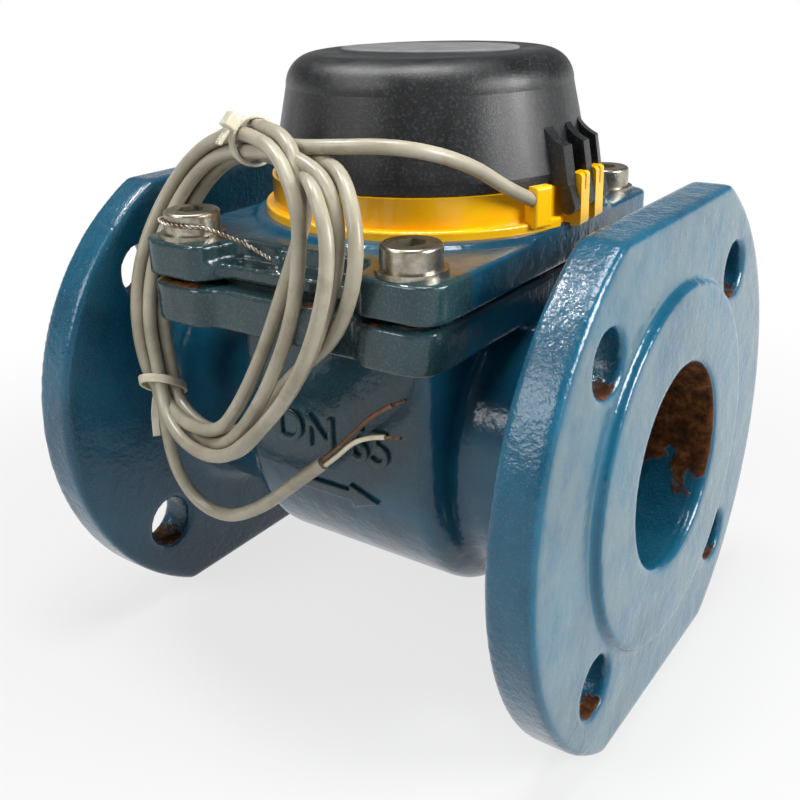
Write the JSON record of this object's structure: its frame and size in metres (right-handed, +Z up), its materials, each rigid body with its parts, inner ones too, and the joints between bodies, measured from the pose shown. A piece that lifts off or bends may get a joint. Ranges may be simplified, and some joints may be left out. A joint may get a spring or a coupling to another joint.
{
  "type": "flanged bulk water meter",
  "caption": "Flanged turbine water meter with a bolted cover, a hinged register lid, an axial rotor with worm drive, and a coiled pulse cable.",
  "frame": {"origin": "on the ground under the middle of the meter, midway between the two flange faces and under the pipe axis", "axes": "+X along the pipe in the direction of flow, +Z up, -Y towards the side where the cable is coiled"},
  "size_m": [0.2, 0.185, 0.2071],
  "materials": {
    "blue_casting": "glossy blue paint over a rough casting",
    "seal_rubber": "matte",
    "bright_steel": "plain bright steel",
    "sealing_wire": "twisted wire",
    "insert_plastic": "matte",
    "bearing_bronze": "satin",
    "rotor_plastic": "satin",
    "worm_steel": "satin",
    "magnet": "satin",
    "cup_brass": "satin",
    "window_glass": "clear",
    "frame_plastic": "matte",
    "dial_white": "matte",
    "pointer_red": "matte",
    "drum_black": "matte",
    "ring_yellow": "glossy",
    "lid_black": "fine grain",
    "cable_grey": "satin",
    "core_white": "satin",
    "core_brown": "satin",
    "core_copper": "bare strands",
    "tie_cream": "satin"
  },
  "bodies": {
    "meter": {"meter_body": "blue_casting", "body_deck": "blue_casting", "inlet_flange": "blue_casting", "outlet_flange": "blue_casting", "cover_plate": "blue_casting", "cover_gasket": "seal_rubber", "cover_screws": "bright_steel", "cover_washers": "bright_steel", "seal_wire": "sealing_wire", "insert_housing": "insert_plastic", "insert_screws": "bright_steel", "gear_housing": "insert_plastic", "hub_cover": "insert_plastic", "outlet_spider": "insert_plastic", "front_bearing": "bearing_bronze", "rear_bearing": "bearing_bronze", "foot_bearing": "bearing_bronze", "head_bearing": "bearing_bronze", "pressure_cup": "cup_brass", "cup_seal": "seal_rubber", "register_can": "cup_brass", "window_gasket": "seal_rubber", "register_window": "window_glass", "window_bezel": "cup_brass", "counter_frame": "frame_plastic", "dial_plate": "dial_white", "drum_axle": "bright_steel", "retaining_ring": "ring_yellow", "hinge_pin": "bright_steel", "pulse_sensor": "lid_black", "cable_lead": "cable_grey", "cable_coil": "cable_grey", "cable_tail": "cable_grey", "white_core": "core_white", "brown_core": "core_brown", "core_ends": "core_copper", "upper_tie": "tie_cream", "lower_tie": "tie_cream"},
    "rotor": {"rotor": "rotor_plastic", "rotor_shaft": "bright_steel", "drive_worm": "worm_steel"},
    "upright": {"upright_shaft": "bright_steel", "worm_wheel": "rotor_plastic", "drive_magnet": "magnet"},
    "register_drive": {"register_input": "frame_plastic", "follower_magnet": "magnet", "flow_star": "pointer_red"},
    "first_train": {"first_wheel": "frame_plastic", "first_pointer": "pointer_red"},
    "second_train": {"second_wheel": "frame_plastic", "second_pointer": "pointer_red"},
    "lid": {"register_lid": "lid_black"},
    "drum_1": {"number_drum_1": "drum_black"},
    "drum_2": {"number_drum_2": "drum_black"},
    "drum_3": {"number_drum_3": "drum_black"},
    "drum_4": {"number_drum_4": "drum_black"},
    "drum_5": {"number_drum_5": "drum_black"},
    "drum_6": {"number_drum_6": "drum_black"}
  },
  "joints": [
    {"name": "rotor_spin", "type": "hinge", "parent": "meter", "child": "rotor", "pos_m": [0, 0, 0.082], "axis": [1, 0, 0], "continuous": true},
    {"name": "upright_spin", "type": "hinge", "parent": "meter", "child": "upright", "pos_m": [0.0014, 0.0095, 0.082], "axis": [0, 0, 1], "continuous": true},
    {"name": "register_drive_spin", "type": "hinge", "parent": "meter", "child": "register_drive", "pos_m": [0.0014, 0.0095, 0.157], "axis": [0, 0, 1], "continuous": true},
    {"name": "first_train_spin", "type": "hinge", "parent": "meter", "child": "first_train", "pos_m": [-0.01379, -0.00224, 0.157], "axis": [0, 0, 1], "continuous": true},
    {"name": "second_train_spin", "type": "hinge", "parent": "meter", "child": "second_train", "pos_m": [0.00481, -0.00698, 0.157], "axis": [0, 0, 1], "continuous": true},
    {"name": "drum_1_spin", "type": "hinge", "parent": "meter", "child": "drum_1", "pos_m": [0.0006, 0.02648, 0.1735], "axis": [0.9989, 0.0471, 0], "continuous": true},
    {"name": "drum_2_spin", "type": "hinge", "parent": "meter", "child": "drum_2", "pos_m": [0.0006, 0.02648, 0.1735], "axis": [0.9989, 0.0471, 0], "continuous": true},
    {"name": "drum_3_spin", "type": "hinge", "parent": "meter", "child": "drum_3", "pos_m": [0.0006, 0.02648, 0.1735], "axis": [0.9989, 0.0471, 0], "continuous": true},
    {"name": "drum_4_spin", "type": "hinge", "parent": "meter", "child": "drum_4", "pos_m": [0.0006, 0.02648, 0.1735], "axis": [0.9989, 0.0471, 0], "continuous": true},
    {"name": "drum_5_spin", "type": "hinge", "parent": "meter", "child": "drum_5", "pos_m": [0.0006, 0.02648, 0.1735], "axis": [0.9989, 0.0471, 0], "continuous": true},
    {"name": "drum_6_spin", "type": "hinge", "parent": "meter", "child": "drum_6", "pos_m": [0.0006, 0.02648, 0.1735], "axis": [0.9989, 0.0471, 0], "continuous": true},
    {"name": "lid_hinge", "type": "hinge", "parent": "meter", "child": "lid", "pos_m": [0.05899, 0.01222, 0.1615], "axis": [-0.0471, 0.9989, 0], "range_deg": [0, 92]}
  ],
  "couplings": [
    {"joint": "upright_spin", "follows": "rotor_spin", "ratio": -0.066667},
    {"joint": "register_drive_spin", "follows": "rotor_spin", "ratio": -0.066667},
    {"joint": "first_train_spin", "follows": "rotor_spin", "ratio": 0.022222},
    {"joint": "second_train_spin", "follows": "rotor_spin", "ratio": -0.0074074},
    {"joint": "drum_1_spin", "follows": "rotor_spin", "ratio": 0.00074074}
  ]
}
